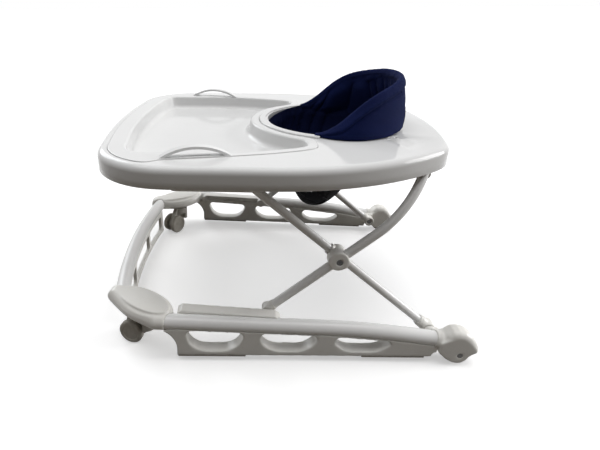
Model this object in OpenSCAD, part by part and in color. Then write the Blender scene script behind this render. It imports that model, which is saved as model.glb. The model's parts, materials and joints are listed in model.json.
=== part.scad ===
// Folding baby walker: a tray deck with a round seat, held by two pairs of
// crossed arms on a U-shaped wheeled base. The arms cross like scissors, so
// the deck sinks flat onto the base. Front of the walker is -X, the child's
// left is -Y, the floor is z = 0.

/* [Deck] */
// height of the deck's lower rim above the floor
deck_z = 357.7; // [330:0.1:380]
// height of the deck rim, lower edge to top face
deck_h = 36.5; // [30:0.5:45]
// wall thickness of the deck moulding
deck_wall = 2.4; // [2:0.1:4]
// radius of the rounded top edge
edge_r = 12; // [4:1:14]
// distance of the seat centre behind the walker's middle
seat_x = 102; // [90:1:115]
// radius of the seat opening in the deck
seat_r = 140; // [130:1:150]

/* [Snack tray] */
// gap between the deck's front edge and the tray's edge
tray_inset = 19; // [14:1:26]
// depth of the dish below the tray's face
dish_depth = 28; // [15:1:34]
// rise of the two pull handles above the tray's face
grip_rise = 17; // [12:1:22]

/* [Seat] */
// height of the backrest above the deck at the rear
back_h = 104; // [80:1:120]
// lowest point of the seat sling above the floor
sling_z = 201; // [190:1:230]
// height at which the navy bag gives way to the black sling
sling_top = 290; // [270:1:320]

/* [Arms] */
// radius of the straight arm's tube
straight_r = 8; // [7:0.5:10]
// radius of the curved arm's tube
curved_r = 8.5; // [7:0.5:10]
// distance of the straight arms from the middle plane
straight_y = 237; // [230:0.5:240]
// distance of the curved arms from the middle plane
curved_y = 255.5; // [250:0.5:258]
// radius of the curved arm's bend
bend_r = 195; // [150:1:230]
// angle of the curved arm's bend
bend_a = 42; // [30:1:50]

/* [Base] */
// radius of the base tubes
rail_r = 14.8; // [12:0.1:17]
// thickness of the side skirts
skirt_t = 28; // [20:1:32]
// underside of the skirts above the floor
skirt_z = 14.2; // [10:0.1:20]

/* [Wheels] */
// radius of every wheel
wheel_r = 25.3; // [22:0.1:30]
// distance of a front wheel's axle behind its swivel axis
trail = 28; // [20:1:32]
// heading of the left swivel, 180 points to the front
turn_left = 164; // [0:1:360]
// heading of the right swivel
turn_right = 127; // [0:1:360]

/* [Hidden] */
$fn = 64;
e = 0.01;
white = "#f2f2f0";
off_white = "#dcd9d2";
silver = "#d3d3da";
navy = "#141c45";
black = "#17171a";
steel = "#b9b9bd";
rubber = "#6b6259";

deck_top = deck_z + deck_h;
seat_c = [seat_x, 0];

// pivots in the side view, (x, z)
hub = [92, 201.5];
foot = [283, 45.5];
shoe = [-32, 88];
straight_a = atan2(hub[1] - foot[1], foot[0] - hub[0]);
curved_a = atan2(hub[1] - shoe[1], hub[0] - shoe[0]);
straight_l = norm(hub - foot);
curved_l = norm(hub - shoe);
upper_l = 222;
runner = foot + (straight_l + upper_l) * [-cos(straight_a), sin(straight_a)];

// the curved arm bends up and inward in a plane leaned over by this angle
lean = 59.5;
bend_start = 78;
pivot = [230.6, 208.5, 366];
// the cross tube's place below that pivot, (x, z)
tie = [4, -16.5];

// side rails: they close in toward the rear and drop behind the middle
rail_turn = 2.71;
rail_x = -203;
rail_y = 313.6;
rail_drop = 2.577;
rail_arc = 1570;
knee = [273, 72.4];
rail_c = [knee[0] - rail_arc * sin(rail_drop), knee[1] - rail_arc * cos(rail_drop)];

// front tube
bow_r = 1300;
bow_c = 956.5;
bow_z = 91;
bow_a = 9.9;

// seat bag: forward lean per height and its radius where the sling begins
bag_lean = 0.13;
bag_r = 92;

swivel = [-272, 256];
axle = [328, 278.9];

function arc(c, r, a0, a1, n) =
    [for (i = [0 : n]) let (a = a0 + (a1 - a0) * i / n) c + r * [cos(a), sin(a)]];
function flip(p) = [for (i = [len(p) - 1 : -1 : 0]) [p[i][0], -p[i][1]]];

// height of the rail tube's centre line along the rail
function rail_z(x) = x < knee[0] ? knee[1] + (knee[0] - x) * tan(rail_drop)
    : rail_c[1] + sqrt(rail_arc * rail_arc - (x - rail_c[0]) * (x - rail_c[0]));

// the deck's plan, inset by g: a bowed front, round corners and a bowed rear
function deck_half(g) = concat(
    arc([939, 0], 1300 - g, 180, 170.9, 5),
    arc([-212, 184], 136 - g, 168, 90, 11),
    arc([-45, -135], 455 - g, 90, 50, 8),
    arc([201, 139], 87 - g, 47, 18, 6),
    arc([-336, 0], 641 - g, 14, 0, 5));

module deck_plan(g) {
    half = deck_half(g);
    polygon(concat(half, flip(half)));
}

// built on the right-hand side, mirrored to the left
module side(right) {
    if (right) children();
    else mirror([0, 1, 0]) children();
}

module slab(z, h) {
    translate([0, 0, z]) linear_extrude(height = h) children();
}

// a cylinder along Y from y0 to y1
module cross(p, r, y0, y1) {
    translate([p[0], y1, p[1]]) rotate([90, 0, 0]) cylinder(r = r, h = y1 - y0);
}

// a side-view outline (x, z) extruded from y0 to y1
module side_plate(y0, y1) {
    translate([0, y1, 0]) rotate([90, 0, 0]) linear_extrude(height = y1 - y0) children();
}

/* ---------- deck ---------- */

module domed_plan(g, top) {
    hull() {
        slab(deck_z, deck_h - edge_r - top) deck_plan(g);
        slab(deck_top - top - edge_r * 0.45, e) deck_plan(g + edge_r * 0.16);
        slab(deck_top - top - edge_r * 0.13, e) deck_plan(g + edge_r * 0.5);
        slab(deck_top - top - e, e) deck_plan(g + edge_r);
    }
}

// plan of the snack tray: front field with a lobe on each side of the seat
module tray_plan(g) {
    offset(r = 20) offset(delta = -20 - g) difference() {
        intersection() {
            deck_plan(tray_inset);
            polygon([[-400, -300], [-240, -300], [-224, -281], [-106, -258],
                [-41, -242], [10, -224], [46, -206], [46, 206], [10, 224], [-41, 242],
                [-106, 258], [-224, 281], [-240, 300], [-400, 300]]);
        }
        translate(seat_c) circle(r = 156);
        translate([66, -120]) square([200, 240]);
    }
}

// plan of the dish inside the tray
module dish_plan(g) {
    offset(r = 16) offset(delta = -16 - g) intersection() {
        tray_plan(13);
        deck_plan(47);
        translate([-400, -246]) square([436, 492]);
    }
}

module deck_shell() {
    color(white) difference() {
        union() {
            difference() {
                domed_plan(0, 0);
                translate([0, 0, -e]) domed_plan(deck_wall, deck_wall);
            }
            // collar that the seat ring drops into
            translate([seat_x, 0, deck_top - 14]) cylinder(r = seat_r + 2.4, h = 12);
            // pan that closes the deck beneath the tray
            slab(deck_z + 4.2, deck_h - 6) tray_plan(3.6);
        }
        translate([seat_x, 0, deck_z]) cylinder(r = seat_r, h = deck_h + 5);
        slab(deck_z + 6.6, deck_h) tray_plan(6);
        slab(deck_top - 1.6, 4) tray_plan(-0.6);
    }
}

module seat_ring() {
    color(white) translate([seat_x, 0, 0]) {
        // snap collar all round
        rotate_extrude() polygon([[seat_r - 3, deck_top - 16], [seat_r - 0.2, deck_top - 16],
            [seat_r - 0.2, deck_top + 0.2], [seat_r + 1.6, deck_top + 0.2],
            [seat_r + 1.6, deck_top + 2], [seat_r - 3, deck_top + 2]]);
        // broad bead around the front, between the tray's lobes
        rotate_extrude(start = 108, angle = 144) polygon(concat(
            [[seat_r + 1.6, deck_top + 0.2]],
            [[seat_r + 15, deck_top + 0.2]],
            arc([seat_r + 12, deck_top + 1.2], 3, 0, 90, 5),
            [[seat_r + 1.6, deck_top + 4.2]]));
    }
}

module snack_tray() {
    face = deck_top + 1.4;
    floor_z = face - dish_depth;
    color(white) difference() {
        union() {
            slab(face - 3, 3) tray_plan(0);
            slab(floor_z - 2.4, dish_depth) dish_plan(-2.4);
        }
        slab(floor_z + 5, dish_depth) dish_plan(0);
        slab(floor_z + 1.6, dish_depth) dish_plan(1.2);
        slab(floor_z, dish_depth) dish_plan(4);
        // finger slots under the two grips
        for (s = [-1, 1]) {
            translate([-165, s * 260, face - 6]) rotate([0, 0, s * -11])
                cube([62, 8, 20], center = true);
        }
    }
}

// pull handle: a flat band that arches over the tray's edge, its feet flat on the tray
module tray_grip(right) {
    chord = 59;
    r = (chord * chord + grip_rise * grip_rise) / (2 * grip_rise);
    a = asin(chord / r);
    face = deck_top + 1.45;
    color(white) side(right) difference() {
        translate([-165, 260, deck_top + 1.6 + grip_rise - r]) rotate([0, 0, -11])
            translate([0, 8, 0]) rotate([90, 0, 0])
                rotate_extrude(start = 90 - a, angle = 2 * a)
                    translate([r - 4.5, 0]) square([4.5, 16]);
        translate([-240, 220, face - 20]) cube([150, 80, 20]);
    }
}

// the bag leans forward: its lowest point lies in front of the opening's centre
module leaning() {
    multmatrix([[1, 0, bag_lean, seat_x - bag_lean * deck_top], [0, 1, 0, 0], [0, 0, 1, 0],
        [0, 0, 0, 1]]) children();
}

module seat_fabric() {
    top = deck_top - 3;
    color(navy) difference() {
        leaning() rotate_extrude() polygon([[seat_r - 8.4, top], [seat_r - 3.8, top],
            [seat_r - 6, top - 20], [seat_r - 21, top - 60], [bag_r, sling_top],
            [bag_r - 5, sling_top], [seat_r - 26, top - 58], [seat_r - 11, top - 18]]);
        leg_holes();
    }
}

// two leg openings in the front of the seat
module leg_holes() {
    for (s = [-1, 1]) {
        translate([seat_x - 58, s * 44, 262]) rotate([0, -60, s * -25])
            cylinder(r = 30, h = 100, center = true);
    }
}

module seat_sling() {
    top = sling_top - 0.3;
    color(black) difference() {
        leaning() rotate_extrude() polygon([[0, sling_z], [22, sling_z + 4],
            [48, sling_z + 32], [64, sling_z + 60], [bag_r, top], [bag_r - 5, top],
            [60, sling_z + 63], [44, sling_z + 35], [21, sling_z + 8.5], [0, sling_z + 5]]);
        leg_holes();
    }
}

// padded band that stands on the deck behind the child, highest at the rear; it leans in
module backrest() {
    foot_z = deck_top + 0.1;
    lean_in = 13;
    color(navy) intersection() {
        translate([seat_x, 0, 0]) rotate_extrude($fn = 96) polygon([[seat_r + 2.2, foot_z],
            [seat_r + 10, foot_z], [seat_r + 10 - lean_in, deck_top + back_h],
            [seat_r + 2.2 - lean_in, deck_top + back_h]]);
        side_plate(-160, 160) polygon(concat(
            [[seat_x + 155, foot_z - 1]],
            [[seat_x + 155, deck_top + back_h + 1]],
            [for (f = [0 : 6 : 102])
                [seat_x + (146 - lean_in * cos(f)) * cos(f),
                    deck_top + back_h * pow(cos(f * 90 / 110), 0.8)]],
            [[seat_x + 146 * cos(107), foot_z - 1]]));
    }
}

// slotted guide under the deck for the straight arms' upper ends
module deck_track(right) {
    x0 = -214;
    x1 = runner[0] + 22;
    z0 = runner[1] - 14;
    z1 = deck_top - deck_wall - 30;
    slot_z = runner[1] - 1;
    color(off_white) side(right) difference() {
        union() {
            for (y = [straight_y - 14.5, straight_y + 11.5]) {
                side_plate(y, y + 3) hull() {
                    translate([x0 + 10, z0 + 10]) circle(r = 10);
                    translate([x1 - 10, z0 + 10]) circle(r = 10);
                    translate([x0, z1 - 2]) square([x1 - x0, 2]);
                }
            }
            // web across the top, fixed to the underside of the pan
            translate([x0, straight_y - 14.5, z1 - 3]) cube([x1 - x0, 29, 3]);
        }
        side_plate(straight_y - 20, straight_y + 20) {
            translate([x0 + 9, slot_z - 6.4]) square([runner[0] - x0 - 9, 12.8]);
            translate([runner[0], slot_z]) circle(r = 6.4);
            translate([x0 + 9, slot_z]) circle(r = 6.4);
        }
    }
}

// hanger that drops from the deck and carries the curved arm's upper pivot
module deck_bracket(right) {
    y1 = pivot[1] - 9.5;
    top = deck_top - deck_wall - 0.05;
    color(off_white) side(right) difference() {
        union() {
            side_plate(y1 - 4, y1) polygon(concat(
                arc([pivot[0], pivot[2]], 9, 200, 340, 8),
                [[pivot[0] + 12, top], [pivot[0] - 12, top]]));
            // foot under the deck and a rib that stiffens the hanger
            translate([pivot[0] - 12, y1 - 16, top - 3]) cube([24, 16, 3]);
            translate([pivot[0] - 1.5, y1, 0]) rotate([90, 0, -90])
                linear_extrude(height = 3, center = true)
                    polygon([[3, pivot[2] + 10], [3, top - 2], [15, top - 2]]);
        }
        cross([pivot[0], pivot[2]], 4, y1 - 10, y1 + 5);
    }
}

module deck_pin(right) {
    y1 = pivot[1] - 9.5;
    color(steel) side(right) {
        cross([pivot[0], pivot[2]], 3.98, y1 - 4.1, pivot[1] + 5.8);
        cross([pivot[0], pivot[2]], 6.5, y1 - 6, y1 - 4.05);
    }
}

/* ---------- curved arms ---------- */

// the curved arm's centre line as a solid of radius r, hub end to deck end; bending
// draws the tube a little thinner
module curved_path(r, lower) {
    translate([hub[0], curved_y, hub[1]]) rotate([0, -curved_a, 0]) {
        translate([-lower, 0, 0]) rotate([0, 90, 0]) cylinder(r = r, h = lower + bend_start);
        translate([bend_start, 0, 0]) rotate([90 + lean, 0, 0]) {
            translate([0, bend_r, 0]) rotate_extrude(start = -90, angle = bend_a)
                translate([bend_r, 0]) circle(r = r - 0.03);
        }
    }
}

module curved_arm(right) {
    color(silver) side(right) difference() {
        curved_path(curved_r + 0.05, curved_l - 7);
        curved_path(curved_r - 1.5, curved_l - 7 + e);
        cross(hub, 4, curved_y - 12, curved_y + 12);
        // coped end that fits the knuckle's eye
        cross([pivot[0], pivot[2]], 10.55, pivot[1] - 10, pivot[1] + 7);
    }
}

// forged end of the curved arm, with the eye that turns on the deck pin
module deck_knuckle(right) {
    color(off_white) side(right) difference() {
        union() {
            cross([pivot[0], pivot[2]], 10.5, pivot[1] - 9, pivot[1] + 6);
            // lug below the eye that holds the cross tube
            side_plate(pivot[1] - 9, pivot[1] - 2.5) translate([pivot[0], pivot[2]])
                rotate(atan2(tie[1], tie[0])) translate([0, -8]) square([norm(tie), 16]);
            cross([pivot[0], pivot[2]] + tie, 8.5, pivot[1] - 9, pivot[1] - 2.5);
            translate([pivot[0], pivot[1], pivot[2]])
                rotate([0, 0, atan2(-0.577, 0.319)]) rotate([0, 180 + 41.2, 0])
                    cylinder(r = curved_r - 1.75, h = 17);
        }
        cross([pivot[0], pivot[2]], 4.03, pivot[1] - 15, pivot[1] + 15);
        cross([pivot[0], pivot[2]] + tie, 6.05, pivot[1] - 15, pivot[1] - 4);
    }
}

// bowed tube behind the seat that ties the two curved arms together
module rear_cross_tube() {
    y = pivot[1] - 10;
    sag = 28;
    r = (y * y + sag * sag) / (2 * sag);
    a = asin(y / r);
    x0 = pivot[0] + tie[0];
    z0 = pivot[2] + tie[1];
    color(silver) {
        translate([x0 + sag - r, 0, z0])
            rotate_extrude(start = -a, angle = 2 * a, $fn = 360)
                translate([r, 0]) circle(r = 5.95, $fn = 64);
        for (s = [0, 1]) {
            side(s == 1) cross([x0, z0], 6, pivot[1] - 12, pivot[1] - 4);
        }
    }
}

// plastic end of the curved arm with the button that runs in the base track
module slide_shoe(right) {
    color(off_white) side(right) difference() {
        union() {
            cross(shoe, 10.5, curved_y - 9.5, curved_y + 9.2);
            cross(shoe, 4, curved_y, curved_y + 17);
            translate([shoe[0], curved_y, shoe[1]]) rotate([0, 90 - curved_a, 0])
                cylinder(r = 9.8, h = 17);
        }
        curved_path(curved_r + 0.05, curved_l - 7);
    }
}

module hub_outer(right) {
    y0 = straight_y + straight_r + 1.1;
    y1 = curved_y + curved_r + 4;
    color(off_white) side(right) difference() {
        union() {
            cross([hub[0] - 2, hub[1] + 2], 18.5, y0, y1 - 1);
            cross([hub[0] - 2, hub[1] + 2], 17.3, y1 - 1 - e, y1);
            side_plate(y0, y1 - 1) hull() {
                translate([hub[0] + 6, hub[1] - 1]) circle(r = 12.5);
                translate([hub[0] - 2, hub[1] + 2]) circle(r = 17);
            }
        }
        curved_path(curved_r + 0.05, curved_l - 7);
        cross(hub, 4, y0 - 5, y1 + 5);
        cross(hub, 6.5, y1 - 3, y1 + 5);
    }
}

module hub_pin(right) {
    y1 = curved_y + curved_r + 4;
    color(steel) side(right) difference() {
        union() {
            cross(hub, 3.98, straight_y - straight_r - 2.6, y1 - 3);
            cross(hub, 6, y1 - 3, y1 - 1.4);
        }
        translate([hub[0], y1, hub[1]]) cube([1.4, 5, 8], center = true);
        translate([hub[0], y1, hub[1]]) cube([8, 5, 1.4], center = true);
    }
}

/* ---------- straight arms ---------- */

module straight_path(r, from, to) {
    translate([foot[0], straight_y, foot[1]]) rotate([0, -90 + straight_a, 0])
        translate([0, 0, from]) cylinder(r = r, h = to - from);
}

module straight_arm(right) {
    color(silver) side(right) difference() {
        straight_path(straight_r, 16, straight_l + upper_l + 10);
        straight_path(straight_r - 1.4, 16 - e, straight_l + upper_l + 8);
        cross(hub, 4.05, straight_y - 12, straight_y + 12);
        cross(runner, 5, straight_y - 12, straight_y + 12);
    }
}

module hub_inner(right) {
    y0 = straight_y - straight_r - 2.4;
    y1 = straight_y + straight_r + 0.8;
    color(off_white) side(right) difference() {
        union() {
            cross(hub, 17.5, y0 + 1.2, y1);
            cross(hub, 16.2, y0, y0 + 1.2 + e);
            straight_path(10.5, straight_l - 21, straight_l + 21);
        }
        straight_path(straight_r + 0.05, 16, straight_l + upper_l);
        // flat outer face beside the other arm
        translate([hub[0] - 40, y1, hub[1] - 40]) cube([80, 10, 80]);
        cross(hub, 4.05, y0 - 5, y1 + 5);
    }
}

// moulded lower end of the straight arm, turning on the foot pin
module arm_boot(right) {
    y0 = straight_y - 9.5;
    y1 = straight_y + 13;
    color(off_white) side(right) difference() {
        union() {
            cross(foot, 13, y0, y1);
            straight_path(11.5, 0, 21);
            straight_path(10, 20.9, 26);
        }
        straight_path(straight_r + 0.05, 15.95, 60);
        cross(foot, 4.05, y0 - 5, y1 + 5);
        cross(foot, 7, y0 - 5, y0 + 3);
    }
}

// rod through both straight arms; its ends run in the deck tracks
module arm_cross_rod() {
    color(steel) cross(runner, 4.98, -straight_y - 15.5, straight_y + 15.5);
}

/* ---------- base ---------- */

// moves to the right-hand rail: x runs back along it, y = 0 is its outer face
module on_rail(right) {
    side(right) translate([rail_x, rail_y, 0]) rotate([0, 0, -rail_turn]) children();
}

// the rail tube's centre line as a solid of radius r
module rail_path(r) {
    translate([knee[0], -skirt_t / 2 + 1, knee[1]]) rotate([0, -90 + rail_drop, 0])
        cylinder(r = r, h = 300);
    translate([rail_c[0], -skirt_t / 2 + 1, rail_c[1]]) rotate([90, 0, 0])
        rotate_extrude(start = 79.6, angle = 87.423 - 79.6, $fn = 1440)
            translate([rail_arc, 0]) circle(r = r, $fn = 64);
}

module rail_tube(right) {
    color(silver) on_rail(right) difference() {
        rail_path(rail_r);
        rail_path(rail_r - 1.6);
    }
}

module bow_path(r) {
    translate([bow_c, 0, bow_z]) rotate_extrude(start = 180 - bow_a, angle = 2 * bow_a, $fn = 720)
        translate([bow_r, 0]) circle(r = r, $fn = 64);
}

module front_tube() {
    color(silver) difference() {
        bow_path(rail_r);
        bow_path(rail_r - 1.6);
    }
}

// side view of a side skirt, inset by g, along the rail
module skirt_profile(g, low) {
    polygon(concat([[g, low]], arc([-46, 30], 46 + g, 0, 64, 10),
        [for (x = [0, knee[0], 320, 370, 420, 460]) [x, rail_z(x) - 8 - g]],
        [[492 - g, rail_z(492) - 8 - g], [492 - g, 24 + g], [488, 24 + g], [484 - g, 19]],
        [[484 - g, low]]));
}

// the three openings of a side skirt, grown by g: straight along the tube, rounded below
module skirt_windows(g) {
    for (w = [[14, 130], [153, 270], [292, 412]]) {
        offset(r = 11 + g) offset(delta = -11) polygon([[w[0], rail_z(w[0]) - 11.5],
            [w[1], rail_z(w[1]) - 11.5], [w[1] - 16, 24], [w[0] + 16, 24]]);
    }
}

module side_skirt(right) {
    w = 2.6;
    color(off_white) on_rail(right) difference() {
        union() {
            difference() {
                side_plate(-skirt_t, 0) skirt_profile(0, skirt_z);
                side_plate(-skirt_t + w, -w) intersection() {
                    skirt_profile(w, skirt_z - 1);
                    polygon([[-60, 0], [500, 0], [500, rail_z(500) - rail_r - w],
                        [400, rail_z(400) - rail_r - w], [knee[0], rail_z(knee[0]) - rail_r - w],
                        [-60, rail_z(-60) - rail_r - w]]);
                }
            }
            intersection() {
                side_plate(-skirt_t, 0) skirt_windows(w);
                side_plate(-skirt_t, 0) skirt_profile(0, skirt_z);
            }
            // plain round boss between two openings
            translate([282, -skirt_t + 0.5, 44]) rotate([90, 0, 0]) cylinder(r = 8, h = 1.5);
        }
        side_plate(-skirt_t - 3, 3) skirt_windows(0);
        rail_path(rail_r + 0.05);
    }
}

// thin apron under the front tube with three openings
module front_skirt() {
    r0 = bow_r - 10;
    color(off_white) difference() {
        translate([bow_c, 0, 0]) rotate_extrude(start = 180 - 9.15, angle = 18.3, $fn = 720) {
            translate([r0, skirt_z]) square([8, bow_z - skirt_z - 4]);
            translate([r0 - 1, skirt_z]) square([11, 4]);
        }
        for (y = [-190, -73, 85]) {
            width = y == -73 ? 146 : 105;
            translate([-400, y, 0]) rotate([90, 0, 90]) linear_extrude(height = 120)
                offset(r = 9) offset(delta = -9)
                    polygon([[0, 24], [width, 24], [width, 66], [0, 66]]);
        }
        bow_path(rail_r + 0.05);
    }
}

// corner elbow that joins a rail to the front tube and holds the caster
module corner_pod(right) {
    collar = rail_r + 1.9;
    color(off_white) side(right) difference() {
        union() {
            hull() {
                pod_oval(75, 2, 56, 28);
                pod_oval(83, 10, 69, 40);
                pod_oval(99, 1, 70, 36);
                translate([-332.5, 220, bow_z]) rotate([-90, 0, 9]) cylinder(r = collar, h = 20);
                translate([rail_x, rail_y, 0]) rotate([0, 0, -rail_turn])
                    translate([-42, -skirt_t / 2 + 1, rail_z(-42)])
                        rotate([0, 90 + rail_drop, 0]) cylinder(r = collar, h = 20);
            }
            pod_oval(99, 7.5, 63, 29);
            translate([swivel[0], swivel[1], 70]) cylinder(r = 18, h = 8);
        }
        bow_path(rail_r + 0.05);
        translate([rail_x, rail_y, 0]) rotate([0, 0, -rail_turn]) {
            rail_path(rail_r + 0.05);
            for (up = [0, 0.3]) {
                translate([0, 0, up]) side_plate(-skirt_t - 0.1, 0.1) skirt_profile(-0.1, skirt_z);
            }
        }
        translate([swivel[0], swivel[1], 60]) cylinder(r = 5.05, h = 32);
    }
}

// flat oval slice of the corner elbow, with its long axis across the corner
module pod_oval(z, h, a, b) {
    translate([swivel[0], swivel[1] + 6, z]) rotate([0, 0, 35]) scale([1, b / a, 1])
        cylinder(r = a, h = h, $fn = 48);
}

// rubber strips under each skirt that drag when a wheel drops over an edge
module brake_strips(right) {
    color(rubber) on_rail(right) for (x = [[2, 131], [352, 470]]) {
        translate([x[0], -skirt_t + 0.6, skirt_z - 2.8]) cube([x[1] - x[0], skirt_t - 1.2, 2.8]);
        translate([x[0] + 4, -skirt_t + 3, skirt_z - e]) cube([x[1] - x[0] - 8, 4, 4]);
        translate([x[0] + 4, -7, skirt_z - e]) cube([x[1] - x[0] - 8, 4, 4]);
    }
}

// slotted guide on the rail for the curved arm's sliding button
module slide_track(right) {
    face = curved_y + curved_r + 1.8;
    back = 291;
    slope = tan(rail_drop);
    slot_z = shoe[1] - 0.8;
    slot_r = 5.1;
    y1 = face + 9.6;
    color(off_white) side(right) difference() {
        side_plate(face, back) polygon([[-204, slot_z + 172 * slope - 14],
            [-204, slot_z + 172 * slope + 1], [-196, slot_z + 164 * slope + 7.5],
            [-18, slot_z - 14 * slope + 7.5], [-9, slot_z - 23 * slope + 2],
            [-6, slot_z - 26 * slope - 12], [-14, slot_z - 18 * slope - 14]]);
        side_plate(face - 1, y1) {
            polygon([[-188, slot_z + 156 * slope - slot_r], [shoe[0], slot_z - slot_r],
                [shoe[0], slot_z + slot_r], [-188, slot_z + 156 * slope + slot_r]]);
            translate([shoe[0], slot_z]) circle(r = slot_r);
            translate([-188, slot_z + 156 * slope]) circle(r = slot_r);
        }
        translate([rail_x, rail_y, 0]) rotate([0, 0, -rail_turn]) {
            rail_path(rail_r + 0.05);
            side_plate(-skirt_t - 0.05, 0) skirt_profile(-0.1, skirt_z);
        }
    }
}

// rear wheel housing: domed cover, two cheeks, the rail's collar and the arm's lug
module rear_housing(right) {
    y0 = 259.4;
    y1 = 298.4;
    face = [[288, 30], [303, 16], [314, 9.5], [324, 7], [333, 8], [341, 15.5], [346, 25],
        [353, 30], [358, 33], [355, 42], [346, 52], [334, 59], [318, 62], [302, 60], [290, 52]];
    rim = [[292, 36], [300, 30], [355, 30], [363.5, 30], [361, 41], [354, 54], [344, 66],
        [333, 73], [321, 75.5], [310, 73.5], [301, 66], [294, 54]];
    color(off_white) side(right) difference() {
        union() {
            side_plate(y0, y1) polygon(face);
            hull() {
                side_plate(y0 + 8, y1 - 8) polygon(rim);
                side_plate(y0 + 3, y1 - 3) offset(delta = -3.5) polygon(rim);
                side_plate(y0, y1) offset(delta = -9) polygon(rim);
            }
            // collar on the rail's end
            translate([rail_x, rail_y, 0]) rotate([0, 0, -rail_turn])
                translate([486, -skirt_t / 2 + 1, rail_z(486)]) rotate([0, 100, 0])
                    cylinder(r = rail_r + 2.5, h = 20);
            // lug for the foot pin
            cross(foot, 13, 252.5, 261.5);
            translate([foot[0], 252.5, foot[1] - 11]) cube([14, 9, 22]);
        }
        // wheel well, open below
        cross([axle[0], wheel_r], wheel_r + 3, axle[1] - 10.5, axle[1] + 10.5);
        translate([axle[0] - wheel_r - 3, axle[1] - 10.5, -5])
            cube([2 * wheel_r + 6, 21, wheel_r + 5]);
        translate([rail_x, rail_y, 0]) rotate([0, 0, -rail_turn]) {
            rail_path(rail_r + 0.05);
            side_plate(-skirt_t - 0.05, 0.3) skirt_profile(-0.1, skirt_z);
        }
        cross([axle[0], wheel_r], 3.5, axle[1] - 17, axle[1] + 30);
        cross([axle[0], wheel_r], 5.5, y1 - 2.4, y1 + 1);
        cross(foot, 4, 240, 262.5);
    }
}

module rear_axle(right) {
    color(steel) side(right) {
        cross([axle[0], wheel_r], 3.48, axle[1] - 16.8, 296.5);
        cross([axle[0], wheel_r], 5.2, 296.05, 297.6);
    }
}

module foot_pin(right) {
    color(steel) side(right) {
        cross(foot, 3.98, straight_y - 6.5, 262);
        cross(foot, 6.2, straight_y - 8.6, straight_y - 6.6);
    }
}

module rear_wheel(right) {
    color(rubber) side(right) translate([axle[0], axle[1] + 9, wheel_r]) rotate([90, 0, 0])
        rotate_extrude() polygon([[3.55, -0.6], [7, -0.6], [7, 3], [19, 3], [19, 0],
            [23.3, 0], [wheel_r, 2], [wheel_r, 16], [23.3, 18], [19, 18], [19, 15],
            [7, 15], [7, 18.6], [3.55, 18.6]]);
}

/* ---------- casters ---------- */

// moves to a caster's swivel axis: x points along its heading
module on_swivel(right) {
    translate([swivel[0], right ? swivel[1] : -swivel[1], 0])
        rotate([0, 0, right ? -turn_right : turn_left]) children();
}

module caster_fork(right) {
    color(rubber) on_swivel(right) difference() {
        union() {
            translate([0, 0, 54]) cylinder(r = 20, h = 15.2);
            side_plate(-6.5, 6.5) hull() {
                translate([trail, wheel_r]) circle(r = 15);
                translate([-18, 36]) square([38, 32]);
            }
            intersection() {
                translate([0, 0, 36]) cylinder(r = 20, h = 19);
                translate([-25, -25, 36]) cube([24, 50, 20]);
            }
            translate([0, 0, 60]) cylinder(r = 5, h = 31);
        }
        cross([trail, wheel_r], 3.6, -30, 30);
    }
}

module caster_wheels(right) {
    color(rubber) on_swivel(right) {
        for (s = [-1, 1]) {
            scale([1, s, 1]) translate([trail, 20.5, wheel_r]) rotate([90, 0, 0])
                rotate_extrude() polygon([[0, 1], [17, 1], [18, 0], [23, 0], [wheel_r, 2.4],
                    [wheel_r, 11], [23.5, 13], [8, 13], [0, 13]]);
        }
        cross([trail, wheel_r], 3.5, -8, 8);
    }
}

deck_shell();
snack_tray();
tray_grip(false);  // tray_grip_left
tray_grip(true);  // tray_grip_right
seat_ring();
seat_fabric();
seat_sling();
backrest();
deck_track(false);  // deck_track_left
deck_track(true);  // deck_track_right
deck_bracket(false);  // deck_bracket_left
deck_bracket(true);  // deck_bracket_right
deck_pin(false);  // deck_pin_left
deck_pin(true);  // deck_pin_right
curved_arm(false);  // curved_arm_left
curved_arm(true);  // curved_arm_right
deck_knuckle(false);  // deck_knuckle_left
deck_knuckle(true);  // deck_knuckle_right
rear_cross_tube();
slide_shoe(false);  // slide_shoe_left
slide_shoe(true);  // slide_shoe_right
hub_outer(false);  // hub_outer_left
hub_outer(true);  // hub_outer_right
hub_pin(false);  // hub_pin_left
hub_pin(true);  // hub_pin_right
straight_arm(false);  // straight_arm_left
straight_arm(true);  // straight_arm_right
hub_inner(false);  // hub_inner_left
hub_inner(true);  // hub_inner_right
arm_boot(false);  // arm_boot_left
arm_boot(true);  // arm_boot_right
arm_cross_rod();
rail_tube(false);  // rail_tube_left
rail_tube(true);  // rail_tube_right
front_tube();
side_skirt(false);  // side_skirt_left
side_skirt(true);  // side_skirt_right
front_skirt();
corner_pod(false);  // corner_pod_left
corner_pod(true);  // corner_pod_right
brake_strips(false);  // brake_strips_left
brake_strips(true);  // brake_strips_right
slide_track(false);  // slide_track_left
slide_track(true);  // slide_track_right
rear_housing(false);  // rear_housing_left
rear_housing(true);  // rear_housing_right
rear_axle(false);  // rear_axle_left
rear_axle(true);  // rear_axle_right
foot_pin(false);  // foot_pin_left
foot_pin(true);  // foot_pin_right
rear_wheel(false);  // rear_wheel_left
rear_wheel(true);  // rear_wheel_right
caster_fork(false);  // caster_fork_left
caster_fork(true);  // caster_fork_right
caster_wheels(false);  // caster_wheels_left
caster_wheels(true);  // caster_wheels_right
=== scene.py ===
import json
import math
import random

import bmesh
import bpy
from mathutils import Matrix, Vector, noise
from mathutils.kdtree import KDTree

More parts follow.
